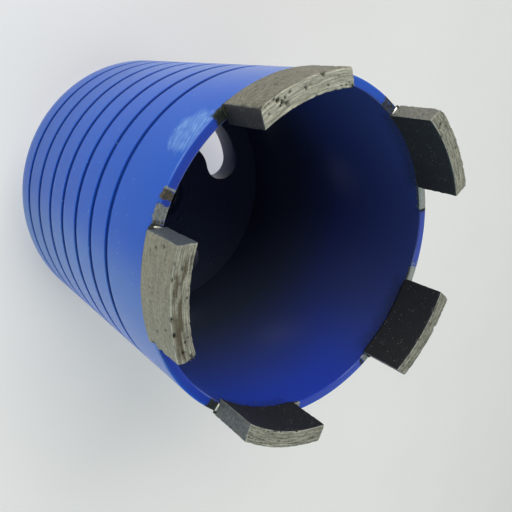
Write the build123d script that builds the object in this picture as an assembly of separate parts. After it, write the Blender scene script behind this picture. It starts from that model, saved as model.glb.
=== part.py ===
from build123d import *
from math import asin, degrees
import os

os.makedirs("parts", exist_ok=True)

# A dry diamond core bit of 82 mm cutting diameter.  It stands on the flat end of its hub, with the
# cutting end up.  +Z runs along the axis from the hub to the cutting end, the origin is the centre
# of the hub's end face, and +X runs through the middle of the first slot and the first segment.
# All lengths are millimetres and all angles are degrees.

# Barrel: a turned steel tube, open at the cutting end
barrel_diameter = 80.0
barrel_wall = 2.3
barrel_length = 79.5
back_edge_chamfer = 0.5

# V-shaped ring grooves turned into the outside of the barrel
groove_count = 7
groove_pitch = 9.0
groove_width = 2.0
groove_depth = 0.5
first_groove_from_rim = 18.5

# Back plate: a thick disc let into the back of the barrel
plate_thickness = 8.0
plate_fit = 0.05

# Curved slots through the back plate, for dust and for pushing out the core.  Each is bent tighter
# than the plate's edge, about a centre of its own between the axis and the slot.
slot_count = 3
slot_width = 11.4
slot_middle_radius = 25.1
slot_bend_radius = 15.0
slot_sweep = 50.0

# Weld in the V between the barrel and the plate, turned flush
weld_preparation = 1.0

# Hub: a turned boss with two wrench flats, threaded M16 right through, and a spigot in the plate
hub_height = 10.5
hub_diameter = 32.0
hub_flat_depth = 2.5
hub_edge_chamfer = 1.0
hub_weld_leg = 2.0
flat_to_weld = 0.5
hub_shoulder = 5.0
spigot_fit = 0.05
thread_core_diameter = 13.9
thread_lead_in = 1.3

# Diamond segments, brazed to the rim by hand, so each sits a little off its even place: the drift is
# degrees round the rim and the shift is millimetres outwards
segment_count = 5
segment_width = 22.4
segment_height = 11.5
segment_thickness = 4.0
segment_overhang = 1.0
segment_edge_chamfer = 0.3
segment_drift = (0.4, 1.7, 0.3, -2.1, -0.4)
segment_shift = (0.45, -0.35, 0.0, -0.1, -0.2)

# Braze metal round the foot of each segment, kept a little inside the segment's faces
braze_leg = 0.9
braze_margin = 0.08

# Heights and radii that follow from these sizes
outer_radius = barrel_diameter / 2
inner_radius = outer_radius - barrel_wall
back_z = hub_height
rim_z = back_z + barrel_length
plate_top_z = back_z + plate_thickness
plate_radius = inner_radius - plate_fit
hub_radius = hub_diameter / 2
spigot_radius = hub_radius - hub_shoulder
thread_radius = thread_core_diameter / 2
slot_bend_centre = slot_middle_radius - slot_bend_radius
segment_outer_radius = outer_radius + segment_overhang
segment_inner_radius = segment_outer_radius - segment_thickness
half_width = segment_width / 2


def turned(*points):
    """A ring or disc turned about the Z axis from the corners (radius, height) of its section."""
    outline = Polyline(*points, close=True)
    return revolve(Plane.XZ * make_face(outline.edges()), Axis.Z)


def around(count, number, drift=0.0):
    """The turn about Z that brings a piece from +X to its place in an even ring."""
    return Rot(Z=360.0 / count * number + drift)


def make_barrel():
    """The tube, with its chamfered back edge and the ring grooves."""
    barrel = turned(
        (inner_radius, back_z + weld_preparation),
        (inner_radius, rim_z),
        (outer_radius, rim_z),
        (outer_radius, back_z + back_edge_chamfer),
        (outer_radius - back_edge_chamfer, back_z),
        (inner_radius + weld_preparation, back_z),
    )
    beyond = outer_radius + groove_depth
    for number in range(groove_count):
        middle = rim_z - first_groove_from_rim - number * groove_pitch
        barrel -= turned(
            (outer_radius - groove_depth, middle),
            (beyond, middle + groove_width),
            (beyond, middle - groove_width),
        )
    return barrel


def make_back_plate():
    """The disc with its centre hole, its curved slots and the chamfer for the weld."""
    plate = turned(
        (spigot_radius + spigot_fit, back_z),
        (plate_radius - weld_preparation, back_z),
        (plate_radius, back_z + weld_preparation),
        (plate_radius, plate_top_z),
        (spigot_radius + spigot_fit, plate_top_z),
    )
    slot_line = CenterArc((slot_bend_centre, 0), slot_bend_radius, -slot_sweep / 2, slot_sweep)
    slot_outline = SlotArc(slot_line, slot_width)
    slot = extrude(Pos(Z=back_z) * slot_outline, plate_thickness)
    for number in range(slot_count):
        plate -= around(slot_count, number) * slot
    return plate


def make_plate_weld():
    """The ring of weld that fills the V between barrel and plate, flush with their back faces."""
    return turned(
        (plate_radius - weld_preparation, back_z),
        (inner_radius, back_z + weld_preparation),
        (inner_radius + weld_preparation, back_z),
    )


def make_hub():
    """The boss below the plate, its spigot through the plate, its flats and its thread's core."""
    hub = turned(
        (thread_radius + thread_lead_in, 0),
        (hub_radius - hub_edge_chamfer, 0),
        (hub_radius, hub_edge_chamfer),
        (hub_radius, back_z),
        (spigot_radius, back_z),
        (spigot_radius, plate_top_z),
        (thread_radius + thread_lead_in, plate_top_z),
        (thread_radius, plate_top_z - thread_lead_in),
        (thread_radius, thread_lead_in),
    )
    flat_height = hub_height - hub_weld_leg - flat_to_weld
    flat_cut = Box(hub_diameter, hub_flat_depth, flat_height,
                   align=(Align.CENTER, Align.MIN, Align.MIN))
    for number in range(2):
        hub -= around(2, number) * Pos(Y=hub_radius - hub_flat_depth) * flat_cut
    return hub


def make_hub_weld():
    """The fillet weld between the hub and the back of the plate."""
    return turned(
        (hub_radius, back_z - hub_weld_leg),
        (hub_radius, back_z),
        (hub_radius + hub_weld_leg, back_z),
    )


def make_segment():
    """One curved block with flat, parallel ends.  It stands on the rim and overhangs it on both
    sides, and its free edges are broken."""
    ring = Circle(segment_outer_radius) - Circle(segment_inner_radius)
    window = Pos(X=outer_radius) * Rectangle(outer_radius, segment_width)
    block = extrude(Pos(Z=rim_z) * (ring & window), segment_height)
    seat_edges = block.edges().group_by(Axis.Z)[0]
    return chamfer(block.edges() - seat_edges, segment_edge_chamfer)


def make_braze(shift):
    """Braze metal under both overhangs of a segment and over the rim at both of its ends."""
    outside = segment_outer_radius + shift - braze_margin
    inside = segment_inner_radius + shift + braze_margin
    reach = degrees(asin((half_width + braze_leg) / outer_radius))

    def underside(wall_radius, edge_radius):
        """The fillet between the wall and the underside of one overhang."""
        section = Plane.XZ * make_face(Polyline(
            (wall_radius, rim_z - braze_leg),
            (edge_radius, rim_z),
            (wall_radius, rim_z),
            close=True,
        ).edges())
        return revolve(Rot(Z=-reach) * section, Axis.Z, 2 * reach)

    braze = underside(outer_radius, outside) + underside(inner_radius, inside)
    foot_ring = extrude(Pos(Z=rim_z) * (Circle(outside) - Circle(inside)), braze_leg)
    for side in (-1, 1):
        foot = side * half_width
        toe = side * (half_width + braze_leg)
        section = Plane.YZ * make_face(Polyline(
            (foot, rim_z),
            (foot, rim_z + braze_leg),
            (toe, rim_z),
            close=True,
        ).edges())
        braze += extrude(section, 2 * outer_radius) & foot_ring
    return braze


segment = make_segment()

pieces = {
    "barrel": make_barrel(),
    "back_plate": make_back_plate(),
    "plate_weld": make_plate_weld(),
    "hub": make_hub(),
    "hub_weld": make_hub_weld(),
}
for number in range(segment_count):
    place = around(segment_count, number, segment_drift[number])
    pieces[f"segment_{number + 1}"] = place * Pos(X=segment_shift[number]) * segment
    pieces[f"braze_{number + 1}"] = place * make_braze(segment_shift[number])

for name, piece in pieces.items():
    export_step(piece, f"parts/{name}.step")
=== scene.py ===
import math
import random

import bmesh
import bpy
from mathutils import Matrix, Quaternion, Vector, noise


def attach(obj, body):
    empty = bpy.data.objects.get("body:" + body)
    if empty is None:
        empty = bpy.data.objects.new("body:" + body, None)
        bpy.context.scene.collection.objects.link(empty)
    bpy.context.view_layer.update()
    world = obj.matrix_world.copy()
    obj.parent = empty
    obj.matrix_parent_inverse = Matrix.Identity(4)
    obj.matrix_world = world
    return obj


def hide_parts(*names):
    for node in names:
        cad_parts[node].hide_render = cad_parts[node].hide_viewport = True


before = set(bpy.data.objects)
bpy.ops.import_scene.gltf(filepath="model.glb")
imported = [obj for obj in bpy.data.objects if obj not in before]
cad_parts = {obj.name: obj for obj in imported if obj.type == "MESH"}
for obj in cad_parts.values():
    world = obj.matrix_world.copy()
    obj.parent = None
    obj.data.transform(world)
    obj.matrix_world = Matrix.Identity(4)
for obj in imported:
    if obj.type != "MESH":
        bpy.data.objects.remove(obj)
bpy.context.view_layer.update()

# A dry diamond core bit of 82 mm cutting diameter, standing on its hub with the cutting end up.
# Lengths are millimetres and angles degrees in the part's own frame, as in the part's source.
MM = 0.001

# Barrel
outer_radius = 40.0
inner_radius = 37.7
back_z = 10.5
rim_z = 90.0
rim_rounding = 0.3
groove_heights = [71.5 - 9.0 * number for number in range(7)]
groove_depth = 0.5

# Back plate and its curved slots
plate_top_z = 18.5
plate_radius = 37.65
plate_edge_break = 0.25
slot_angles = (0.0, 120.0, 240.0)
slot_bend_centre = 10.1
slot_bend_radius = 15.0
slot_width = 11.4
slot_sweep = 50.0

# Hub
hub_radius = 16.0
hub_flat = 13.5
hub_flat_top_z = 8.0
hub_chamfer = 1.0
spigot_radius = 11.0
thread_core_radius = 6.95
thread_root_radius = 8.0
thread_pitch = 2.0
thread_mouth_radius = 8.25

# Segments, each a little off its even place
segment_angles = (0.4, 73.7, 144.3, 213.9, 287.6)
segment_shifts = (0.45, -0.35, 0.0, -0.1, -0.2)
segment_inner_radius = 37.0
segment_outer_radius = 41.0
segment_width = 22.4
segment_height = 11.5
segment_half_angle = math.degrees(math.asin(segment_width / 2 / outer_radius))


# Helpers for finishes and meshes

def colour(code):
    """A material's colour in linear light, from its sRGB hex code."""
    parts = [int(code[place:place + 2], 16) / 255 for place in (1, 3, 5)]
    linear = [part / 12.92 if part <= 0.04045 else ((part + 0.055) / 1.055) ** 2.4 for part in parts]
    return (*linear, 1.0)


def add(tree, kind, inputs=None, **settings):
    """Adds a node with its settings.  Each input gets a number, a colour or a link."""
    made = tree.nodes.new(kind)
    for name, value in settings.items():
        setattr(made, name, value)
    for name, value in (inputs or {}).items():
        if isinstance(name, int):
            socket = made.inputs[name]
        else:
            socket = next(each for each in made.inputs if each.enabled and each.name == name)
        if isinstance(value, bpy.types.Node):
            value = next(each for each in value.outputs if each.enabled)
        if isinstance(value, bpy.types.NodeSocket):
            tree.links.new(value, socket)
        else:
            socket.default_value = value
    return made


def new_finish(name):
    """An empty material and the place on the part in millimetres, which its patterns start from."""
    finish = bpy.data.materials.new(name)
    finish.use_nodes = True
    tree = finish.node_tree
    tree.nodes.clear()
    place = add(tree, "ShaderNodeTexCoord")
    in_mm = add(tree, "ShaderNodeVectorMath", {0: place.outputs["Object"], "Scale": 1 / MM},
                operation="SCALE")
    return finish, tree, in_mm


def smooth_step(low, high, value):
    """0 below low, 1 above high, and a soft rise between them."""
    share = min(max((value - low) / (high - low), 0.0), 1.0)
    return share * share * (3 - 2 * share)


def polar(radius, angle, height):
    """The point at a radius and an angle round the axis."""
    turned = math.radians(angle)
    return Vector((radius * math.cos(turned), radius * math.sin(turned), height))


def apart(angle, other):
    """How far one angle lies beyond another, from -180 to 180."""
    return (angle - other + 180) % 360 - 180


def loop_faces(ring_count, point_count):
    """The faces between neighbouring rings, with the last ring joined to the first."""
    faces = []
    for ring in range(ring_count):
        following = (ring + 1) % ring_count
        for point in range(point_count):
            beside = (point + 1) % point_count
            faces.append((
                ring * point_count + point,
                ring * point_count + beside,
                following * point_count + beside,
                following * point_count + point,
            ))
    return faces


def make_piece(name, points, faces, finishes, node, marks=None, sharp_angle=35):
    """A piece of the tool from its points in millimetres, in place of a node of the solid model.

    marks holds named numbers, one for each point, that the finish reads."""
    mesh = bpy.data.meshes.new(name)
    mesh.from_pydata([Vector(point) * MM for point in points], [], faces)
    for mark, values in (marks or {}).items():
        layer = mesh.attributes.new(mark, "FLOAT", "POINT")
        layer.data.foreach_set("value", values)
    work = bmesh.new()
    work.from_mesh(mesh)
    bmesh.ops.recalc_face_normals(work, faces=work.faces)
    work.to_mesh(mesh)
    work.free()
    for finish in finishes:
        mesh.materials.append(finish)
    return place_piece(name, mesh, node, sharp_angle)


def place_piece(name, mesh, node, sharp_angle):
    """Shows a mesh as a piece that moves with the tool and stands for a node of the solid model."""
    mesh.shade_smooth()
    mesh.set_sharp_from_angle(angle=math.radians(sharp_angle))
    piece = bpy.data.objects.new(name, mesh)
    bpy.context.scene.collection.objects.link(piece)
    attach(piece, "root")
    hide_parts(node)
    return piece


# Finishes

def make_blue_paint():
    """Satin enamel sprayed over turned steel.  The eye gets a deep even royal blue with a soft wide
    gloss, a faint orange peel, the turning lines under it, pale scuffs and small chips.  Painted shade
    darkens the grooves and the back end, a painted sheen lightens two sides, and a painted highlight
    runs along the rim's edges.  Inside, the spray thins out over dark primer, which is also painted
    shade deep down, and by the segments brazing has heated and burnt it, with painted shadow on the
    inner wall under each segment."""
    finish, tree, in_mm = new_finish("satin_blue_enamel")
    marks = {}
    for mark in ("dust", "inside", "primer_and_shade", "painted_shade", "scuff", "painted_edge_highlight", "heat", "burn_and_shade", "rust", "bare"):
        marks[mark] = add(tree, "ShaderNodeAttribute", attribute_name=mark).outputs["Fac"]
    shade = add(tree, "ShaderNodeTexNoise", {"Vector": in_mm, "Scale": 1 / 14, "Detail": 3.0})
    paint = add(tree, "ShaderNodeMix", {"Factor": shade, "A": colour("#084fb8"), "B": colour("#0d57c2")},
                data_type="RGBA")

    # Paint dust on the back end, and a pale painted sheen along two sides where the wall is seen at a
    # grazing angle
    paint = add(tree, "ShaderNodeMix",
                {"Factor": marks["dust"], "A": paint, "B": colour("#7fa8b4")}, data_type="RGBA")

    # One thin coat inside and on the rim's face, and dark grey-blue primer that grows deeper down, along
    # one side of the inner wall, on the plate and in the hub's mouth: partly primer where the spray
    # didn't reach, partly painted shade deep inside the barrel
    paint = add(tree, "ShaderNodeMix",
                {"Factor": marks["inside"], "A": paint, "B": colour("#263da2")}, data_type="RGBA")
    paint = add(tree, "ShaderNodeMix",
                {"Factor": marks["primer_and_shade"], "A": paint, "B": colour("#3c4458")}, data_type="RGBA")

    # Painted shade: dark navy in the grooves and, lightly, over the back end of the outside
    paint = add(tree, "ShaderNodeMix",
                {"Factor": marks["painted_shade"], "A": paint, "B": colour("#061d5e")}, data_type="RGBA")

    # Pale scuffs: two sets of fine lines, 9 and 20 degrees off the turning and 4 to 6 mm long, over a
    # faint haze that is thick in some places and thin in others
    spread = add(tree, "ShaderNodeSeparateXYZ", {"Vector": in_mm})
    around = add(tree, "ShaderNodeMath", {0: spread.outputs["Y"], 1: spread.outputs["X"]},
                 operation="ARCTAN2")
    arc = add(tree, "ShaderNodeMath", {0: around, 1: outer_radius}, operation="MULTIPLY")
    unrolled = add(tree, "ShaderNodeCombineXYZ", {"X": arc, "Y": spread.outputs["Z"]})
    sets = []
    for tilt, length, spacing in ((9, 5.5, 0.28), (20, 4.0, 0.36)):
        tilted = add(tree, "ShaderNodeMapping", {
            "Vector": unrolled,
            "Rotation": (0, 0, math.radians(tilt)),
            "Scale": (length, spacing, 1.0),
        }, vector_type="TEXTURE")
        lines = add(tree, "ShaderNodeTexNoise", {"Vector": tilted, "Scale": 1.0, "Detail": 2.0})
        sets.append(add(tree, "ShaderNodeMapRange", {
            "Value": lines, "From Min": 0.52, "From Max": 0.66,
        }, interpolation_type="SMOOTHSTEP"))
    both = add(tree, "ShaderNodeMath", {0: sets[0], 1: sets[1]}, operation="MAXIMUM")
    patches = add(tree, "ShaderNodeTexNoise", {"Vector": in_mm, "Scale": 0.5, "Detail": 4.0})
    ragged = add(tree, "ShaderNodeMath", {0: patches, 1: 1.4, 2: marks["scuff"]},
                 operation="MULTIPLY_ADD")
    density = add(tree, "ShaderNodeMapRange", {"Value": ragged, "From Min": 1.0, "From Max": 1.8},
                  interpolation_type="SMOOTHSTEP")
    hatch = add(tree, "ShaderNodeMath", {0: both, 1: 0.5, 2: 0.24}, operation="MULTIPLY_ADD")
    scuffed = add(tree, "ShaderNodeMath", {0: hatch, 1: density}, operation="MULTIPLY")

    # Pale chips of 0.3 mm outside, about one each 7 mm
    specks = add(tree, "ShaderNodeTexVoronoi", {"Vector": in_mm, "Scale": 1 / 2.5})
    chip = add(tree, "ShaderNodeMapRange", {
        "Value": specks.outputs["Distance"], "From Min": 0.07, "From Max": 0.04, "To Max": 0.6,
    })
    chip = add(tree, "ShaderNodeMix", {"Factor": marks["inside"], "A": chip, "B": 0.0}, data_type="FLOAT")
    pale = add(tree, "ShaderNodeMath", {0: scuffed, 1: chip}, operation="MAXIMUM")
    paint = add(tree, "ShaderNodeMix", {"Factor": pale, "A": paint, "B": colour("#86b3e2")},
                data_type="RGBA")
    # A painted highlight: an uneven pale line along the rim's two rounded edges
    paint = add(tree, "ShaderNodeMix", {"Factor": marks["painted_edge_highlight"], "A": paint, "B": colour("#98a8dc")},
                data_type="RGBA")

    # Darkened by heat, then bare, rusty and burnt places with edges broken up over half a millimetre,
    # and a thin soot over them all.  On the inner wall under the segments the same heat, burn and soot
    # colours are painted shadow.
    paint = add(tree, "ShaderNodeMix",
                {"Factor": marks["heat"], "A": paint, "B": colour("#0a182a")}, data_type="RGBA")
    fleck = add(tree, "ShaderNodeTexNoise", {"Vector": in_mm, "Scale": 1.7, "Detail": 5.0})
    masks = {}
    for mark in ("bare", "rust", "burn_and_shade"):
        broken = add(tree, "ShaderNodeMath", {0: fleck, 1: 1.3, 2: marks[mark]},
                     operation="MULTIPLY_ADD")
        masks[mark] = add(tree, "ShaderNodeMapRange", {
            "Value": broken, "From Min": 1.02, "From Max": 1.32,
        }, interpolation_type="SMOOTHSTEP")
    speckle = add(tree, "ShaderNodeTexNoise", {"Vector": in_mm, "Scale": 2.6, "Detail": 4.0})
    mottle = add(tree, "ShaderNodeMapRange", {"Value": speckle, "From Min": 0.36, "From Max": 0.66})
    for mark, dark, light in (
            ("bare", "#747772", "#9a9c98"), ("rust", "#2f2d28", "#655d50"), ("burn_and_shade", "#1a201c", "#4a5047")):
        finish_shade = add(tree, "ShaderNodeMix", {"Factor": mottle, "A": colour(dark), "B": colour(light)},
                           data_type="RGBA")
        paint = add(tree, "ShaderNodeMix", {"Factor": masks[mark], "A": paint, "B": finish_shade},
                    data_type="RGBA")
    soot_and_shade = add(tree, "ShaderNodeMath", {0: marks["burn_and_shade"], 1: 0.75}, operation="MULTIPLY")
    paint = add(tree, "ShaderNodeMix", {"Factor": soot_and_shade, "A": paint, "B": colour("#121513")},
                data_type="RGBA")

    # Turning lines of 0.25 mm feed below an orange peel of about 1.5 mm
    feed = add(tree, "ShaderNodeMapping", {"Vector": in_mm, "Scale": (0.02, 0.02, 4.0)})
    turning = add(tree, "ShaderNodeTexNoise", {"Vector": feed, "Scale": 1.0, "Detail": 2.0})
    peel = add(tree, "ShaderNodeTexNoise", {"Vector": in_mm, "Scale": 0.7, "Detail": 2.0})
    relief = add(tree, "ShaderNodeMath", {0: turning, 1: 0.05, 2: peel}, operation="MULTIPLY_ADD")
    bump = add(tree, "ShaderNodeBump", {"Height": relief, "Distance": 0.012 * MM, "Strength": 0.6})
    gloss = add(tree, "ShaderNodeMapRange", {
        "Value": turning, "From Min": 0.3, "From Max": 0.7, "To Min": 0.22, "To Max": 0.24,
    })
    dull = add(tree, "ShaderNodeMath", {0: masks["burn_and_shade"], 1: marks["painted_shade"]}, operation="MAXIMUM")
    gloss = add(tree, "ShaderNodeMix", {"Factor": masks["bare"], "A": gloss, "B": 0.45},
                data_type="FLOAT")
    roughness = add(tree, "ShaderNodeMix", {"Factor": dull, "A": gloss, "B": 0.8}, data_type="FLOAT")
    covered = add(tree, "ShaderNodeMath", {0: masks["burn_and_shade"], 1: masks["rust"]}, operation="MAXIMUM")
    metal = add(tree, "ShaderNodeMix", {"Factor": covered, "A": masks["bare"], "B": 0.0},
                data_type="FLOAT")
    shader = add(tree, "ShaderNodeBsdfPrincipled", {
        "Base Color": paint, "Metallic": metal, "Roughness": roughness, "Normal": bump, "IOR": 1.26,
        "Sheen Weight": 0.05, "Sheen Roughness": 0.3, "Sheen Tint": colour("#a9ecf5"),
    })
    add(tree, "ShaderNodeOutputMaterial", {"Surface": shader})
    return finish


def make_sintered_metal():
    """Sintered bronze and iron bond full of diamond grit, ground open on a wheel.  The eye gets a
    grey-beige metal with streaks along the arc, mottled by grit as small light and dark grains, pits
    darkened with painted shade by their depth, pale worn edges, brown stains, and black scale from
    brazing where nothing was ground."""
    finish, tree, in_mm = new_finish("sintered_diamond_bond")
    marks = {}
    for mark in ("tone", "ground", "painted_pit_shade", "worn", "stain", "scale"):
        marks[mark] = add(tree, "ShaderNodeAttribute", attribute_name=mark).outputs["Fac"]

    # Streaks 5 mm long and 0.25 mm apart that follow the arc
    spread = add(tree, "ShaderNodeSeparateXYZ", {"Vector": in_mm})
    around = add(tree, "ShaderNodeMath", {0: spread.outputs["Y"], 1: spread.outputs["X"]},
                 operation="ARCTAN2")
    arc = add(tree, "ShaderNodeMath", {0: around, 1: outer_radius * 0.2}, operation="MULTIPLY")
    flat = add(tree, "ShaderNodeCombineXYZ", {"X": spread.outputs["X"], "Y": spread.outputs["Y"]})
    radius = add(tree, "ShaderNodeVectorMath", {0: flat}, operation="LENGTH")
    across = add(tree, "ShaderNodeMath", {0: radius.outputs["Value"], 1: 3.6}, operation="MULTIPLY")
    up = add(tree, "ShaderNodeMath", {0: spread.outputs["Z"], 1: 3.6}, operation="MULTIPLY")
    along_arc = add(tree, "ShaderNodeCombineXYZ", {"X": arc, "Y": across, "Z": up})
    streak = add(tree, "ShaderNodeTexNoise", {"Vector": along_arc, "Scale": 1.0, "Detail": 3.0,
                                              "Roughness": 0.6})

    # Mottling by the grit, 0.3 to 1 mm
    mottle = add(tree, "ShaderNodeTexNoise", {"Vector": in_mm, "Scale": 1.6, "Detail": 5.0,
                                              "Roughness": 0.72})
    even = add(tree, "ShaderNodeMath", {0: streak, 1: 0.5}, operation="SUBTRACT")
    ground = add(tree, "ShaderNodeMath", {0: even, 1: marks["ground"]}, operation="MULTIPLY")
    streaked = add(tree, "ShaderNodeMath", {0: ground, 1: 2.2, 2: marks["tone"]},
                   operation="MULTIPLY_ADD")
    light = add(tree, "ShaderNodeMath", {0: mottle, 1: 0.85, 2: streaked}, operation="MULTIPLY_ADD")
    bond = add(tree, "ShaderNodeMix", {"Factor": light, "A": colour("#403e35"), "B": colour("#c0bca8")},
               data_type="RGBA")

    # Single grains of 0.25 mm
    grit = add(tree, "ShaderNodeTexVoronoi", {"Vector": in_mm, "Scale": 1.7})
    grain = add(tree, "ShaderNodeMapRange", {"Value": grit.outputs["Distance"], "From Min": 0.26,
                                             "From Max": 0.18}, interpolation_type="SMOOTHSTEP")
    kind = add(tree, "ShaderNodeSeparateColor", {"Color": grit.outputs["Color"]})
    grain_shade = add(tree, "ShaderNodeMix", {
        "Factor": kind.outputs["Red"], "A": colour("#3d3c34"), "B": colour("#dbd9c6"),
    }, data_type="RGBA")
    few = add(tree, "ShaderNodeMapRange", {"Value": kind.outputs["Green"], "From Min": 0.55,
                                           "From Max": 0.75, "To Max": 0.5})
    grain_share = add(tree, "ShaderNodeMath", {0: grain, 1: few}, operation="MULTIPLY")
    bond = add(tree, "ShaderNodeMix", {"Factor": grain_share, "A": bond, "B": grain_shade},
               data_type="RGBA")

    bond = add(tree, "ShaderNodeMix", {"Factor": marks["worn"], "A": bond, "B": colour("#d2cfc0")},
               data_type="RGBA")
    bond = add(tree, "ShaderNodeMix", {"Factor": marks["stain"], "A": bond, "B": colour("#4c4029")},
               data_type="RGBA")
    # Painted shade in the pits, darker the deeper they are
    bond = add(tree, "ShaderNodeMix", {"Factor": marks["painted_pit_shade"], "A": bond, "B": colour("#26241d")},
               data_type="RGBA")

    # Scale: a thin slate-blue film first, then a black crust with a few light specks of bare bond
    fleck = add(tree, "ShaderNodeTexNoise", {"Vector": in_mm, "Scale": 1.4, "Detail": 5.0})
    broken = add(tree, "ShaderNodeMath", {0: fleck, 1: 0.45, 2: marks["scale"]},
                 operation="MULTIPLY_ADD")
    scale = add(tree, "ShaderNodeMapRange", {"Value": broken, "From Min": 0.42, "From Max": 1.1})
    film = add(tree, "ShaderNodeMapRange", {"Value": scale, "From Max": 0.6})
    crust = add(tree, "ShaderNodeMapRange", {"Value": scale, "From Min": 0.5})
    specks = add(tree, "ShaderNodeTexVoronoi", {"Vector": in_mm, "Scale": 1.6})
    speck = add(tree, "ShaderNodeMapRange", {"Value": specks.outputs["Distance"], "From Min": 0.24,
                                             "From Max": 0.14, "To Max": 0.55})
    speck_kind = add(tree, "ShaderNodeSeparateColor", {"Color": specks.outputs["Color"]})
    some = add(tree, "ShaderNodeMapRange", {"Value": speck_kind.outputs["Red"], "From Min": 0.7,
                                            "From Max": 0.9})
    speck = add(tree, "ShaderNodeMath", {0: speck, 1: some}, operation="MULTIPLY")
    speck = add(tree, "ShaderNodeMath", {0: speck, 1: crust}, operation="MULTIPLY")
    film_colour = add(tree, "ShaderNodeMix", {
        "Factor": mottle, "A": colour("#333b42"), "B": colour("#59626b"),
    }, data_type="RGBA")
    bond = add(tree, "ShaderNodeMix", {"Factor": film, "A": bond, "B": film_colour}, data_type="RGBA")
    surface = add(tree, "ShaderNodeMix", {"Factor": crust, "A": bond, "B": colour("#131316")},
                  data_type="RGBA")
    surface = add(tree, "ShaderNodeMix", {"Factor": speck, "A": surface, "B": colour("#8d8d87")},
                  data_type="RGBA")
    metal = add(tree, "ShaderNodeMapRange", {"Value": scale, "To Min": 0.55, "To Max": 0.0})

    # Relief of the streaks, and of grains of 0.2 mm between the grit
    relief = add(tree, "ShaderNodeTexNoise", {"Vector": in_mm, "Scale": 4.5, "Detail": 4.0})
    grains = add(tree, "ShaderNodeMath", {0: grain, 1: 0.3, 2: relief}, operation="MULTIPLY_ADD")
    height = add(tree, "ShaderNodeMath", {0: ground, 1: 1.6, 2: grains}, operation="MULTIPLY_ADD")
    bump = add(tree, "ShaderNodeBump", {"Height": height, "Distance": 0.055 * MM, "Strength": 0.7})
    roughness = add(tree, "ShaderNodeMapRange", {"Value": fleck, "To Min": 0.5, "To Max": 0.75})
    shader = add(tree, "ShaderNodeBsdfPrincipled", {
        "Base Color": surface, "Metallic": metal, "Roughness": roughness, "Normal": bump,
    })
    add(tree, "ShaderNodeOutputMaterial", {"Surface": shader})
    return finish


def make_silver_braze():
    """Silver braze that ran out of the joint and cooled in air.  The eye gets small bright rounded
    beads that are tarnished brown and grey where the flame was."""
    finish, tree, in_mm = new_finish("run_silver_braze")
    cloud = add(tree, "ShaderNodeTexNoise", {"Vector": in_mm, "Scale": 0.9, "Detail": 4.0})
    tarnish = add(tree, "ShaderNodeAttribute", attribute_name="tarnish")
    dirty = add(tree, "ShaderNodeMath", {0: cloud, 1: 0.5, 2: tarnish.outputs["Fac"]},
                operation="MULTIPLY_ADD")
    share = add(tree, "ShaderNodeMapRange", {"Value": dirty, "From Min": 0.3, "From Max": 0.9})
    surface = add(tree, "ShaderNodeMix", {"Factor": share, "A": colour("#d6d4c6"), "B": colour("#33342d")},
                  data_type="RGBA")
    roughness = add(tree, "ShaderNodeMapRange", {"Value": share, "To Min": 0.28, "To Max": 0.6})
    relief = add(tree, "ShaderNodeTexNoise", {"Vector": in_mm, "Scale": 2.5, "Detail": 3.0})
    bump = add(tree, "ShaderNodeBump", {"Height": relief, "Distance": 0.08 * MM, "Strength": 0.6})
    shader = add(tree, "ShaderNodeBsdfPrincipled", {
        "Base Color": surface, "Metallic": 1.0, "Roughness": roughness, "Normal": bump,
    })
    add(tree, "ShaderNodeOutputMaterial", {"Surface": shader})
    return finish


def make_turned_steel():
    """Mild steel left bare as the lathe and tap cut it.  The eye gets a mid grey metal with fine
    rings and a film of oil that darkens it here and there."""
    finish, tree, in_mm = new_finish("turned_mild_steel")
    spread = add(tree, "ShaderNodeSeparateXYZ", {"Vector": in_mm})
    flat = add(tree, "ShaderNodeCombineXYZ", {"X": spread.outputs["X"], "Y": spread.outputs["Y"]})
    radius = add(tree, "ShaderNodeVectorMath", {0: flat}, operation="LENGTH")
    section = add(tree, "ShaderNodeCombineXYZ",
                  {"X": radius.outputs["Value"], "Y": spread.outputs["Z"]})
    rings = add(tree, "ShaderNodeTexNoise", {"Vector": section, "Scale": 5.0, "Detail": 2.0})
    film = add(tree, "ShaderNodeTexNoise", {"Vector": in_mm, "Scale": 0.3, "Detail": 3.0})
    surface = add(tree, "ShaderNodeMix", {"Factor": film, "A": colour("#6c6c69"), "B": colour("#aaaaa6")},
                  data_type="RGBA")
    roughness = add(tree, "ShaderNodeMapRange", {"Value": rings, "To Min": 0.24, "To Max": 0.42})
    bump = add(tree, "ShaderNodeBump", {"Height": rings, "Distance": 0.03 * MM, "Strength": 0.6})
    shader = add(tree, "ShaderNodeBsdfPrincipled", {
        "Base Color": surface, "Metallic": 1.0, "Roughness": roughness, "Normal": bump,
    })
    add(tree, "ShaderNodeOutputMaterial", {"Surface": shader})
    return finish


blue_paint = make_blue_paint()
sintered_metal = make_sintered_metal()
silver_braze = make_silver_braze()
turned_steel = make_turned_steel()


# Barrel: a turned tube with rounded edges and seven ring grooves

barrel_steps = 540

# A groove's section: how far towards the rim from the groove's middle, the depth below the surface,
# and how much painted shade darkens it there.  It has a rounded lip towards the rim, a flat floor and
# a steep wall towards the back, and the painted shade is darkest in the corner by that wall.
groove_section = (
    (1.3, 0.0, 0.0),
    (1.02, 0.0, 0.0),
    (0.88, 0.03, 0.0),
    (0.74, 0.11, 0.1),
    (0.58, 0.27, 0.3),
    (0.42, 0.42, 0.35),
    (0.1, 0.47, 0.35),
    (-0.35, 0.49, 0.35),
    (-0.62, 0.5, 0.5),
    (-0.7, 0.47, 1.0),
    (-0.76, 0.36, 1.0),
    (-0.82, 0.2, 0.5),
    (-0.87, 0.06, 0.15),
    (-0.95, 0.0, 0.0),
    (-1.25, 0.0, 0.0),
)

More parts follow.
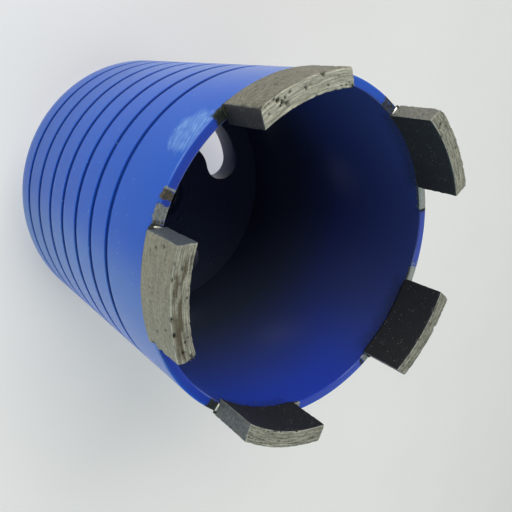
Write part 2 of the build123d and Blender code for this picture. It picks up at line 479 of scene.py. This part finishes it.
# What brazing left on the rim: the segment, its side, from and to in millimetres along the rim beyond
# the segment's end, then how heated and how burnt the paint is, how rusty and how bare the steel
burnt_places = (
    (1, 1, 0.0, 5.2, 1.0, 0.5, 0.6, 0.55),
    (1, -1, 0.0, 7.2, 0.4, 0.15, 0.0, 1.0),
    (1, -1, 7.2, 8.0, 0.8, 1.0, 0.0, 0.0),
    (2, 1, 0.0, 3.0, 0.9, 0.9, 0.0, 0.25),
    (2, -1, 0.0, 0.6, 0.3, 0.8, 0.0, 0.0),
    (3, -1, 0.0, 0.8, 0.5, 0.9, 0.0, 0.4),
    (3, -1, 0.8, 1.8, 0.6, 0.5, 0.0, 0.8),
    (3, -1, 1.8, 4.6, 0.4, 0.3, 0.0, 1.0),
    (3, -1, 4.6, 5.1, 0.8, 0.5, 0.0, 0.5),
    (3, -1, 5.7, 7.5, 0.5, 0.3, 1.0, 0.1),
    (3, -1, 7.5, 8.2, 0.0, 0.0, 0.0, 1.0),
    (3, 1, 0.0, 1.0, 0.4, 0.8, 0.0, 0.3),
    (4, -1, 0.0, 1.0, 0.8, 0.8, 0.0, 0.4),
    (4, -1, 1.0, 3.6, 0.9, 0.7, 0.6, 0.0),
    (4, -1, 3.6, 6.6, 0.75, 0.1, 0.0, 0.0),
    (4, 1, 0.0, 3.2, 0.4, 0.25, 0.0, 0.95),
    (5, -1, 0.0, 2.4, 0.8, 0.34, 0.0, 0.7),
    (5, -1, 2.4, 3.6, 0.9, 0.7, 0.0, 0.0),
    (5, 1, 0.0, 4.6, 0.3, 0.15, 0.0, 1.0),
    (5, 1, 4.6, 6.2, 0.3, 0.1, 0.0, 0.42),
)


def barrel_section():
    """Corners of the wall's section, as radius, height and painted shade, from the plate up the inside."""
    section = [(inner_radius, height, 0.0) for height in (11.5, 18.6, 30.0, 40.0, 50.0, 60.0, 70.0, 79.0)]
    section += [(inner_radius, 83.0 + 0.5 * row, 0.0) for row in range(13)]
    for quarter in range(5):
        turned = math.radians(180 - 22.5 * quarter)
        section.append((inner_radius + rim_rounding * (1 + math.cos(turned)),
                        rim_z - rim_rounding * (1 - math.sin(turned)), 0.0))
    section += [(radius, rim_z, 0.0) for radius in (38.3, 38.7, 39.1, 39.5)]
    for quarter in range(5):
        turned = math.radians(90 - 22.5 * quarter)
        section.append((outer_radius - rim_rounding * (1 - math.cos(turned)),
                        rim_z - rim_rounding * (1 - math.sin(turned)), 0.0))
    section += [(outer_radius, 89.0 - 0.75 * row, 0.0) for row in range(13)]
    section += [(outer_radius, 76.0, 0.0)]
    for middle in groove_heights:
        section += [(outer_radius - depth, middle + along, painted_shade)
                    for along, depth, painted_shade in groove_section]
        section.append((outer_radius, middle - 4.5, 0.0))
    section += [(outer_radius, back_z + 0.6, 0.0), (outer_radius - 0.1, back_z + 0.4, 0.0),
                (outer_radius - 0.4, back_z + 0.1, 0.0), (outer_radius - 0.6, back_z, 0.0)]
    section.append((inner_radius + 1.0, back_z, 0.0))
    return section


def rim_marks(angle, radius, height):
    """How heated, burnt, rusty and bare a point near the rim is, and on the inner wall by each
    segment's foot, how much painted shadow falls under the segment.
    """
    place = polar(radius, angle, height)
    wobble = noise.noise(place * 0.7) + 0.6 * noise.noise(place * 2.0)
    over_edge = smooth_step(rim_z - 1.5, rim_z - 0.4, height + 0.7 * wobble)
    levels = [0.0, 0.0, 0.0, 0.0]
    for number, side, near, far, *amounts in burnt_places:
        beyond = apart(angle, segment_angles[number - 1]) * side - segment_half_angle
        along = math.radians(beyond) * outer_radius + 0.4 * wobble
        near = near or -1.5
        for kind, amount in enumerate(amounts):
            blur = 0.3 if kind else 1.1
            inside = smooth_step(near - blur, near + blur, along)
            inside *= smooth_step(far + blur, far - blur, along)
            levels[kind] = max(levels[kind], amount * inside * over_edge)
    heat, burn_and_shade, rust, bare = levels
    # On the inner wall by each segment's foot, heat and burn carry painted shadow under the segment's
    # overhang
    if radius < inner_radius + 0.2:
        nearest = min(abs(apart(angle, middle)) for middle in segment_angles)
        by_foot = smooth_step(3.0, -1.5, nearest - segment_half_angle + 1.5 * wobble)
        below = rim_z - height + 0.8 * wobble
        heat = max(heat, by_foot * smooth_step(7.6, 3.2, below))
        burn_and_shade = max(0.4 * burn_and_shade, 0.4 * by_foot * smooth_step(5.6, 2.0, below))
    return heat, burn_and_shade, rust, bare


def make_barrel():
    """The tube, with marks for its coats, dust, scuffs and burnt places, and for painted shade, a painted
    sheen and a painted edge highlight.
    """
    section = barrel_section()
    points = []
    marks = {"dust": [], "painted_shade": [], "scuff": [], "painted_edge_highlight": [], "inside": [], "primer_and_shade": [],
             "heat": [], "burn_and_shade": [], "rust": [], "bare": []}
    for radius, height, painted_shade in section:
        near_rim = height > rim_z - 8
        outside = radius > outer_radius - 0.6
        on_edge = rim_z - 0.25 < height < rim_z
        on_rim = smooth_step(40.0, 39.2, radius) if height == rim_z else 0.0
        deep = min(max((82.0 - height) / 40.0, 0.0), 1.0) ** 0.8
        for step in range(barrel_steps):
            angle = 360 / barrel_steps * step
            points.append(polar(radius, angle, height))
            levels = rim_marks(angle, radius, height) if near_rim else (0.0, 0.0, 0.0, 0.0)
            scuff = 0.0
            if radius > outer_radius - 0.01 and height > 76:
                across = apart(angle, 99.4) / 10.0
                down = (height - 86.4) / 6.6
                scuff = smooth_step(1.15, 0.45, math.hypot(across, down))
            # A pale painted sheen along two sides of the outside, and paint dust on the back end
            one_side = 0.2 * smooth_step(132, 150, angle) * smooth_step(184, 160, angle)
            other_side = 0.08 * smooth_step(88, 66, angle) * smooth_step(24, 46, angle)
            at_back = smooth_step(58, 16, height)
            marks["dust"].append(outside * (0.04 * at_back + one_side + other_side))
            # Painted shade in the grooves and, lightly, towards the back end
            marks["painted_shade"].append(max(painted_shade, 0.14 * outside * at_back))
            marks["scuff"].append(scuff)
            unsteady = noise.noise(polar(0.09 * radius, angle, 4.0))
            # A painted highlight along the rim's two rounded edges
            marks["painted_edge_highlight"].append(0.34 * smooth_step(-0.25, 0.35, unsteady) if on_edge else 0.0)
            thin = 0.9 - 0.6 * smooth_step(60, 30, abs(apart(angle, 40)))
            marks["inside"].append(max(thin * on_rim, smooth_step(38.2, 37.8, radius)))
            # Primer and painted shade, deeper down the inner wall and along one side of it
            thin_side = 0.62 * smooth_step(95, 45, abs(apart(angle, 342)))
            marks["primer_and_shade"].append(smooth_step(38.0, 37.8, radius) * max(deep, thin_side))
            for mark, level in zip(("heat", "burn_and_shade", "rust", "bare"), levels):
                marks[mark].append(level)
    faces = loop_faces(len(section), barrel_steps)
    return make_piece("turned_barrel", points, faces, [blue_paint], "barrel", marks)


# Back plate: a disc with three curved slots, its edges broken

def ring_outline(radius, steps):
    """A full circle of points about the axis."""
    return [polar(radius, 360 / steps * step, 0) for step in range(steps)]


def slot_outline(middle):
    """One curved slot: two arcs about its own centre, joined by round ends."""
    centre = polar(slot_bend_centre, middle, 0)
    half_width = slot_width / 2
    start = middle - slot_sweep / 2
    end = middle + slot_sweep / 2
    steps = 24
    outline = []
    for step in range(steps + 1):
        angle = start + slot_sweep / steps * step
        outline.append(centre + polar(slot_bend_radius + half_width, angle, 0))
    for step in range(1, steps):
        outline.append(centre + polar(slot_bend_radius, end, 0)
                       + polar(half_width, end + 180 / steps * step, 0))
    for step in range(steps + 1):
        angle = end - slot_sweep / steps * step
        outline.append(centre + polar(slot_bend_radius - half_width, angle, 0))
    for step in range(1, steps):
        outline.append(centre + polar(slot_bend_radius, start, 0)
                       + polar(half_width, start + 180 + 180 / steps * step, 0))
    return outline


def make_back_plate():
    """The slotted disc, cut from flat outlines and thickened, with broken edges."""
    thickness = plate_top_z - back_z
    outlines = [ring_outline(plate_radius, 240), ring_outline(spigot_radius + 0.05, 96)]
    outlines += [slot_outline(middle) for middle in slot_angles]
    drawing = bpy.data.curves.new("plate_outlines", "CURVE")
    drawing.dimensions = "2D"
    drawing.fill_mode = "BOTH"
    drawing.extrude = (thickness / 2 - plate_edge_break) * MM
    drawing.bevel_depth = plate_edge_break * MM
    drawing.bevel_resolution = 2
    drawing.offset = -plate_edge_break * MM
    for outline in outlines:
        spline = drawing.splines.new("POLY")
        spline.points.add(len(outline) - 1)
        spline.use_cyclic_u = True
        for spot, place in zip(spline.points, outline):
            spot.co = (place.x * MM, place.y * MM, 0, 1)
    holder = bpy.data.objects.new("plate_outlines", drawing)
    mesh = bpy.data.meshes.new_from_object(holder)
    bpy.data.objects.remove(holder)
    for vertex in mesh.vertices:
        vertex.co.z += (back_z + thickness / 2) * MM
    # Primer and painted shade over all but the plate's back face
    primer_and_shade = mesh.attributes.new("primer_and_shade", "FLOAT", "POINT")
    dust = mesh.attributes.new("dust", "FLOAT", "POINT")
    for number, vertex in enumerate(mesh.vertices):
        height = vertex.co.z / MM
        primer_and_shade.data[number].value = smooth_step(back_z, back_z + 0.3, height)
        dust.data[number].value = 0.3 if back_z + 0.2 < height < plate_top_z - 0.2 else 0.0
    mesh.name = "slotted_back_plate"
    mesh.materials.append(blue_paint)
    return place_piece("slotted_back_plate", mesh, "back_plate", 35)


# Hub: a turned boss with two wrench flats and a thread right through

hub_steps = 144


def thread_radius(angle, height):
    """The bore's radius with its thread and the two countersunk mouths."""
    turn = (height / thread_pitch - angle / 360) % 1.0
    flank = min(max(abs(turn - 0.5) * 2.6 - 0.25, 0.0), 1.0)
    cut = thread_core_radius + (thread_root_radius - thread_core_radius) * flank
    mouth = thread_mouth_radius - min(height, plate_top_z - height)
    return max(cut, mouth)


def make_hub():
    """The boss from its end face outwards, over the spigot and back down the threaded bore."""
    rings = []
    outside = (
        (thread_mouth_radius + 0.1, 0.0, False),
        (hub_radius - hub_chamfer - 0.1, 0.0, True),
        (hub_radius - hub_chamfer + 0.1, 0.1, True),
        (hub_radius - 0.1, hub_chamfer - 0.1, True),
        (hub_radius, hub_chamfer + 0.1, True),
        (hub_radius, hub_flat_top_z - 0.1, True),
        (hub_radius, hub_flat_top_z, False),
        (hub_radius, back_z, False),
        (spigot_radius, back_z, False),
        (spigot_radius, plate_top_z - 0.2, False),
        (spigot_radius - 0.2, plate_top_z, False),
        (thread_mouth_radius + 0.1, plate_top_z, False),
    )
    angles = [360 / hub_steps * step for step in range(hub_steps)]
    for radius, height, flats in outside:
        ring = []
        for angle in angles:
            across = abs(math.sin(math.radians(angle)))
            reach = min(radius, hub_flat / max(across, 0.1)) if flats else radius
            ring.append(polar(reach, angle, height))
        rings.append(ring)
    bore_rows = 110
    for row in range(bore_rows + 1):
        height = plate_top_z * (1 - row / bore_rows)
        rings.append([polar(thread_radius(angle, height), angle, height) for angle in angles])
    points = [point for ring in rings for point in ring]
    # Primer and painted shade, rising from 3.5 mm to full on the spigot and in the upper bore
    marks = {"primer_and_shade": [smooth_step(3.5, back_z, point.z) for point in points]}
    hub = make_piece("threaded_hub", points, loop_faces(len(rings), hub_steps),
                     [blue_paint, turned_steel], "hub", marks, sharp_angle=28)
    for face in hub.data.polygons:
        middle = face.center / MM
        reach = math.hypot(middle.x, middle.y)
        in_bore = reach < thread_mouth_radius + 0.1 and middle.z < 3.5
        on_end = middle.z < 0.02
        if in_bore or on_end:
            face.material_index = 1
    return hub


# Welds: rippled beads that were run round and painted over

def make_weld(name, node, start, end, root, bulge, ripples):
    """A bead round the axis between two toes, each radius and height, over its hidden root."""
    steps = ripples * 8
    across_count = 9
    start = Vector(start)
    end = Vector(end)
    run = end - start
    outward = Vector((run.y, -run.x)).normalized()
    sections = []
    for step in range(steps):
        angle = 360 / steps * step
        unsteady = 1 + 0.18 * noise.noise(polar(2.0, angle, start.y))
        section = []
        for across in range(across_count):
            share = across / (across_count - 1)
            crown = 4 * share * (1 - share)
            lag = 0.45 * crown
            phase = (step / 8 + lag) % 1.0
            scallop = 1 - 0.3 * (1 - phase) ** 2
            spot = start + run * share + outward * bulge * crown * scallop * unsteady
            section.append(polar(spot.x, angle, spot.y))
        section.append(polar(root[0], angle, root[1]))
        sections.append(section)
    points = [point for section in sections for point in section]
    return make_piece(name, points, loop_faces(steps, across_count + 1), [blue_paint],
                      node, sharp_angle=60)


# Segments: curved blocks of sintered metal with worn edges, pits and wheel marks

segment_steps = (16, 90, 46)

# How much black scale each segment's two ends carry, at its lower and its higher angle
end_scale = ((0.5, 0.36), (0.55, 0.95), (0.66, 0.6), (0.52, 0.5), (0.6, 0.6))

# How much lighter or darker than the bond's middle tone each segment's front and outer faces are
face_tones = ((0.0, 0.0), (0.27, -0.15), (0.03, 0.0), (0.0, 0.0), (-0.1, 0.0))

# Depth of the grinding streaks on each segment's front face
streak_depths = (0.07, 0.14, 0.09, 0.06, 0.07)

# Pits and chips: millimetres outwards from the inner face, along and up, then radius and depth
seen_pits = {
    1: ((1.8, 8.2, 11.5, 0.8, 0.3), (0.8, 7.6, 11.5, 0.6, 0.3), (0.1, 5.6, 11.4, 0.5, 0.3),
        (4.0, 10.9, 11.0, 0.8, 0.4), (4.0, -11.0, 9.0, 0.7, 0.3)),
    2: ((1.5, 5.2, 11.5, 0.6, 0.3), (2.3, 6.2, 11.5, 0.6, 0.35), (3.0, 7.0, 11.5, 0.55, 0.35),
        (3.5, 7.8, 11.5, 0.45, 0.3), (1.9, 6.6, 11.5, 0.45, 0.3), (2.6, 5.3, 11.5, 0.4, 0.25),
        (3.9, -3.9, 11.5, 0.8, 0.6), (4.0, 7.8, 2.9, 0.5, 0.3), (4.0, 6.2, 4.0, 0.45, 0.3),
        (4.0, 3.5, 6.7, 0.4, 0.25), (4.0, 8.6, 5.2, 0.35, 0.25), (4.0, -11.2, 3.4, 1.0, 0.45),
        (4.0, -11.2, 7.5, 0.8, 0.35), (4.0, 11.0, 10.9, 0.9, 0.5), (4.0, 11.2, 6.0, 0.9, 0.4),
        (4.0, 10.9, 8.6, 0.7, 0.35), (0.0, -10.8, 11.4, 0.8, 0.4)),
    3: ((4.0, 2.0, 11.5, 0.6, 0.5), (3.4, 5.3, 11.5, 0.55, 0.45), (2.3, 8.9, 11.5, 0.5, 0.3),
        (1.5, 7.0, 11.5, 0.4, 0.35), (1.0, 6.2, 11.5, 0.35, 0.3), (4.0, -8.9, 4.3, 0.45, 0.3),
        (4.0, -8.1, 2.6, 0.4, 0.3), (4.0, -9.8, 6.9, 0.5, 0.3), (4.0, 6.5, 5.5, 0.4, 0.3),
        (4.0, 5.0, 9.0, 0.45, 0.3), (3.9, -5.2, 11.4, 0.5, 0.35), (0.0, 11.2, 11.5, 1.3, 0.7),
        (1.6, 11.3, 11.5, 0.8, 0.4), (4.0, 11.2, 2.2, 1.3, 0.55), (4.0, 11.2, 5.0, 0.7, 0.3)),
    4: ((3.9, -9.2, 11.5, 0.6, 0.35), (3.7, -6.2, 11.5, 0.5, 0.3), (3.6, 9.8, 11.5, 0.5, 0.3),
        (0.0, -3.5, 11.5, 0.6, 0.35), (0.0, 3.0, 11.4, 0.5, 0.3)),
    5: ((0.8, -9.7, 11.5, 0.45, 0.3), (0.2, -2.0, 11.4, 0.5, 0.3), (0.1, 6.5, 11.4, 0.7, 0.4),
        (3.9, 3.0, 11.4, 0.6, 0.35)),
}


def block_skin(counts):
    """Lattice places and faces of a block's skin, for the steps along its three directions."""
    found = {}
    faces = []
    for axis in range(3):
        first, second = [other for other in range(3) if other != axis]
        for side in (0, counts[axis]):
            turned_round = (side == 0) != (axis == 1)
            for one in range(counts[first]):
                for two in range(counts[second]):
                    corners = []
                    for ahead, up in ((0, 0), (1, 0), (1, 1), (0, 1)):
                        place = [0, 0, 0]
                        place[axis] = side
                        place[first] = one + ahead
                        place[second] = two + up
                        corners.append(found.setdefault(tuple(place), len(found)))
                    faces.append(corners[::-1] if turned_round else corners)
    return list(found), faces


def random_pits(number):
    """Small pits over the worn faces and chips along the front edges of one segment."""
    chance = random.Random(number)
    thickness = segment_outer_radius - segment_inner_radius
    half = segment_width / 2
    pits = []
    for _ in range(46):
        face = chance.choice(("front", "front", "outer", "end"))
        along = chance.uniform(-half, half)
        size = chance.uniform(0.22, 0.42)
        if face == "front":
            spot = (chance.uniform(0, thickness), along, segment_height)
        elif face == "outer":
            spot = (thickness, along, chance.uniform(1, segment_height))
        else:
            spot = (chance.uniform(0, thickness), chance.choice((-half, half)),
                    chance.uniform(1, segment_height))
        pits.append((*spot, size, size * 0.6))
    for _ in range(12):
        size = chance.uniform(0.22, 0.45)
        spot = (chance.choice((0, 0, thickness)), chance.uniform(-half, half), segment_height)
        pits.append((*spot, size, size * 0.35))
    for _ in range(6):
        size = chance.uniform(0.3, 0.6)
        spot = (thickness, chance.choice((-half, half)), chance.uniform(1.5, segment_height))
        pits.append((*spot, size, size * 0.35))
    return pits


def make_segment(number):
    """One segment, shaped in its own straight block and then bent on to the rim."""
    thickness = segment_outer_radius - segment_inner_radius
    half = segment_width / 2
    shift = Vector((17.3 * number, 0, 0))
    pits = list(seen_pits[number]) + random_pits(number)
    front_tone, outer_tone = face_tones[number - 1]
    streak_depth = streak_depths[number - 1]
    lattice, faces = block_skin(segment_steps)
    points = []
    marks = {"tone": [], "ground": [], "painted_pit_shade": [], "worn": [], "stain": [], "scale": []}
    for step_out, step_along, step_up in lattice:
        place = Vector((
            thickness * step_out / segment_steps[0],
            segment_width * step_along / segment_steps[1] - half,
            segment_height * step_up / segment_steps[2],
        ))
        on_seat = step_up == 0 and 0 < step_out < segment_steps[0] and 0 < step_along < segment_steps[1]
        worn = 0.0
        sunk = 0.0
        stain = 0.0
        outward = Vector((0, 0, 0))
        if not on_seat:
            rounding = 0.34 + 0.2 * noise.noise(place * 0.9 + shift)
            core = Vector((
                min(max(place.x, rounding), thickness - rounding),
                min(max(place.y, rounding - half), half - rounding),
                min(place.z, segment_height - rounding),
            ))
            outward = (place - core).normalized()
            place = core + outward * rounding
            worn = smooth_step(0.97, 0.8, max(abs(outward.x), abs(outward.y), outward.z))
            front = max(outward.z, 0.0) ** 2
            outer = max(outward.x, 0.0) ** 2
            dressed = noise.fractal(
                Vector((place.x * 1.7, place.y * 0.13, 3.1)) + shift, 0.7, 2.0, 4)
            brushed = noise.fractal(
                Vector((place.z * 1.3, place.y * 0.16, 7.7)) + shift, 0.7, 2.0, 4)
            grain = noise.noise(place * 2.6 + shift)
            sunk += front * streak_depth * (1 - dressed) + outer * (0.05 - 0.05 * brushed)
            sunk += 0.03 * (1 - grain)
            ragged = 0.5 * noise.noise(place * 3.0 + shift)
            for out, along, up, size, depth in pits:
                away = max((place - Vector((out, along, up))).length / size + ragged, 0.0)
                if away < 1:
                    sunk += depth * (1 - away * away)
            if number == 3:
                line = noise.noise(Vector((place.x * 1.9, place.y * 0.12, 1.7)))
                patch = noise.noise(Vector((place.x * 0.8, place.y * 0.35, 5.2)))
                near_middle = smooth_step(1.9, 0.5, abs(place.x - 2.2))
                stain = smooth_step(-0.4, 0.4, line + 0.8 * patch) * near_middle * front
                stain *= smooth_step(-11.0, -6.0, place.y)
        sunk = max(sunk, 0.0)
        inner_face = smooth_step(0.6, 0.95, -outward.x)
        ends = end_scale[number - 1]
        end_face = ends[0] * max(-outward.y, 0.0) + ends[1] * max(outward.y, 0.0)
        marks["tone"].append(front_tone * max(outward.z, 0.0) + outer_tone * max(outward.x, 0.0))
        marks["ground"].append(max(outward.z, 0.0) + 0.3 * max(outward.x, 0.0))
        # Painted shade that grows with how deep the surface is sunk, so the pits come out dark
        marks["painted_pit_shade"].append(smooth_step(0.14, 0.5, sunk))
        marks["worn"].append(worn * (0.35 + 0.5 * noise.noise(place * 1.3 + shift)))
        marks["stain"].append(0.85 * stain)
        marks["scale"].append(max((1.1 if number == 1 else 0.95) * inner_face, end_face))
        place = place - outward * sunk
        near = math.sqrt(segment_inner_radius ** 2 - place.y ** 2)
        far = math.sqrt(segment_outer_radius ** 2 - place.y ** 2)
        out = near + (far - near) * place.x / thickness + segment_shifts[number - 1]
        bent = Vector((out, place.y, rim_z + place.z))
        spin = Quaternion((0, 0, 1), math.radians(segment_angles[number - 1]))
        points.append(spin @ bent)
    return make_piece(f"sintered_segment_{number}", points, faces, [sintered_metal],
                      f"segment_{number}", marks, 50)


# Braze: an uneven bead round the foot of each segment

# How tarnished the bead is in the middle of each segment's two ends, at its lower and higher angle
end_tarnish = ((0.8, 0.0), (0.9, 0.9), (0.3, 0.5), (0.1, 0.5), (0.8, 0.8))


def make_braze(number):
    """The bead along both overhangs and across the rim at the segment's two ends."""
    shift = Vector((0, 0, 31.7 * number))
    middle = segment_angles[number - 1]
    moved = segment_shifts[number - 1]
    low_tarnish, high_tarnish = end_tarnish[number - 1]
    half = segment_half_angle
    over_outside = segment_outer_radius + moved - outer_radius
    over_inside = inner_radius - segment_inner_radius - moved
    outer_line = outer_radius + 0.28 * over_outside
    inner_line = inner_radius - 0.3 * over_inside
    height = rim_z - 0.3
    across = 12
    path = []
    for step in range(97):
        path.append((outer_line, middle - half + 2 * half * step / 96, height, 0.8, 0.42 * over_outside))
    for step in range(1, across):
        share = step / across
        bow = math.sin(math.pi * share)
        radius = outer_line + (inner_line - outer_line) * share
        tarnish = 0.8 + (high_tarnish - 0.8) * smooth_step(0.3, 0.8, bow)
        path.append((radius, middle + half + 0.45 * bow, height + 0.3 * bow, tarnish, 0.42))
    for step in range(97):
        path.append((inner_line, middle + half - 2 * half * step / 96, height, 0.8, 0.6 * over_inside))
    for step in range(1, across):
        share = step / across
        bow = math.sin(math.pi * share)
        radius = inner_line + (outer_line - inner_line) * share
        tarnish = 0.8 + (low_tarnish - 0.8) * smooth_step(0.3, 0.8, bow)
        path.append((radius, middle - half - 0.45 * bow, height + 0.3 * bow, tarnish, 0.42))
    centres = [polar(radius, angle, level) for radius, angle, level, _, _ in path]
    points = []
    tarnish = []
    round_steps = 12
    for step, centre in enumerate(centres):
        ahead = centres[(step + 1) % len(centres)]
        behind = centres[step - 1]
        run = (ahead - behind).normalized()
        aside = run.cross(Vector((0, 0, 1))).normalized()
        size = min(max(path[step][4], 0.12), 0.42)
        thick = size * (1 + 0.35 * noise.noise(centre * 0.8 + shift))
        for turn in range(round_steps):
            angle = math.tau * turn / round_steps
            points.append(centre + (aside * math.cos(angle) + Vector((0, 0, math.sin(angle)))) * thick)
            tarnish.append(path[step][3])
    return make_piece(f"braze_bead_{number}", points, loop_faces(len(centres), round_steps),
                      [silver_braze], f"braze_{number}", {"tarnish": tarnish}, 60)


make_barrel()
make_back_plate()
make_hub()
make_weld("hub_weld_bead", "hub_weld", (16.0, 8.4), (18.1, 10.5), (15.9, 10.6), 0.4, 54)
make_weld("plate_weld_bead", "plate_weld", (36.5, 10.52), (38.9, 10.52), (37.7, 11.5), 0.16, 110)
for number in range(1, 6):
    make_segment(number)
    make_braze(number)


# Floor, light and camera

def make_floor():
    """A plain pale sheet of matt card under the tool, with a faint fibre.  It glows a little, more
    on one side and under the tool, so that the shadows stay soft and the slots show pale."""
    finish, tree, in_mm = new_finish("matt_white_card")
    fibre = add(tree, "ShaderNodeTexNoise", {"Vector": in_mm, "Scale": 0.02, "Detail": 3.0})
    surface = add(tree, "ShaderNodeMix", {"Factor": fibre, "A": colour("#cecdc9"), "B": colour("#d4d3cf")},
                  data_type="RGBA")
    to_side = add(tree, "ShaderNodeVectorMath", {0: in_mm, 1: (0.84, -0.545, 0)}, operation="DOT_PRODUCT")
    glow = add(tree, "ShaderNodeMapRange", {
        "Value": to_side.outputs["Value"], "From Min": -140.0, "From Max": 300.0,
        "To Min": 0.37, "To Max": 0.13,
    })
    away = add(tree, "ShaderNodeVectorMath", {0: in_mm}, operation="LENGTH")
    under = add(tree, "ShaderNodeMapRange", {
        "Value": away.outputs["Value"], "From Min": 40.0, "From Max": 30.0, "To Max": 0.13,
    })
    glow = add(tree, "ShaderNodeMath", {0: glow, 1: under}, operation="ADD")
    shader = add(tree, "ShaderNodeBsdfPrincipled", {
        "Base Color": surface, "Roughness": 0.85, "Emission Color": colour("#eae8e2"),
        "Emission Strength": glow,
    })
    add(tree, "ShaderNodeOutputMaterial", {"Surface": shader})
    mesh = bpy.data.meshes.new("card_floor")
    rim = [polar(4000, 360 / 96 * step, -0.05) * MM for step in range(96)]
    mesh.from_pydata(rim, [], [tuple(range(96))])
    mesh.materials.append(finish)
    floor = bpy.data.objects.new("card_floor", mesh)
    bpy.context.scene.collection.objects.link(floor)


def make_soft_light(name, angle, elevation, strength, spread, tint):
    """A round softbox 2.8 m away, at an angle round the axis and a height above the floor.  Its
    strength is what reaches the tool, and its spread is the angle that it fills from there."""
    away = 2.8
    lamp = bpy.data.lights.new(name, "AREA")
    lamp.shape = "DISK"
    lamp.size = 2 * away * math.tan(math.radians(spread / 2))
    lamp.energy = strength * math.pi * away ** 2
    lamp.color = colour(tint)[:3]
    holder = bpy.data.objects.new(name, lamp)
    rise = math.radians(elevation)
    towards = polar(math.cos(rise), angle, math.sin(rise))
    holder.location = towards * away
    holder.rotation_mode = "QUATERNION"
    holder.rotation_quaternion = towards.to_track_quat("Z", "Y")
    bpy.context.scene.collection.objects.link(holder)


def make_room():
    """The pale studio round the stage: bright to the camera, softer in reflections, dim as a light."""
    room = bpy.data.worlds.new("studio_room")
    room.use_nodes = True
    tree = room.node_tree
    tree.nodes.clear()
    ray = add(tree, "ShaderNodeLightPath")
    dim = add(tree, "ShaderNodeBackground", {"Color": colour("#dfe5ee"), "Strength": 0.28})
    shiny = add(tree, "ShaderNodeBackground", {"Color": colour("#dfeef2"), "Strength": 0.7})
    pale = add(tree, "ShaderNodeBackground", {"Color": colour("#dfe2e5"), "Strength": 1.0})
    lit = add(tree, "ShaderNodeMixShader", {0: ray.outputs["Is Glossy Ray"], 1: dim, 2: shiny})
    seen = add(tree, "ShaderNodeMixShader", {0: ray.outputs["Is Camera Ray"], 1: lit, 2: pale})
    add(tree, "ShaderNodeOutputWorld", {"Surface": seen})
    bpy.context.scene.world = room


def make_camera():
    """The camera at the photograph's angle to the tool, turned about its line of sight."""
    target = Vector((-5.1, -1.2, 75.0))
    azimuth = math.radians(205.8)
    elevation = math.radians(49.7)
    roll = math.radians(114.7)
    distance = 143.8
    back = Vector((
        math.sin(azimuth) * math.cos(elevation),
        -math.cos(azimuth) * math.cos(elevation),
        math.sin(elevation),
    ))
    camera = bpy.data.objects.new("photo_camera", bpy.data.cameras.new("photo_camera"))
    camera.data.lens = 41.75
    camera.data.sensor_width = 36.0
    camera.data.clip_start = 0.005
    camera.location = (target + back * distance) * MM
    camera.rotation_mode = "QUATERNION"
    upright = back.to_track_quat("Z", "Y")
    camera.rotation_quaternion = upright @ Quaternion((0, 0, 1), roll)
    bpy.context.scene.collection.objects.link(camera)
    bpy.context.scene.camera = camera


make_floor()
make_room()
make_soft_light("key_softbox", 54, 34, 3.0, 55, "#fffdfa")
make_soft_light("top_softbox", 100, 31, 0.4, 40, "#fffdfa")
make_soft_light("back_softbox", 305, 38, 0.4, 40, "#fffdfa")
make_soft_light("side_fill", 205, 14, 2.3, 60, "#d0f0f6")
make_camera()
bpy.context.scene.view_settings.view_transform = "Standard"

bpy.context.view_layer.update()
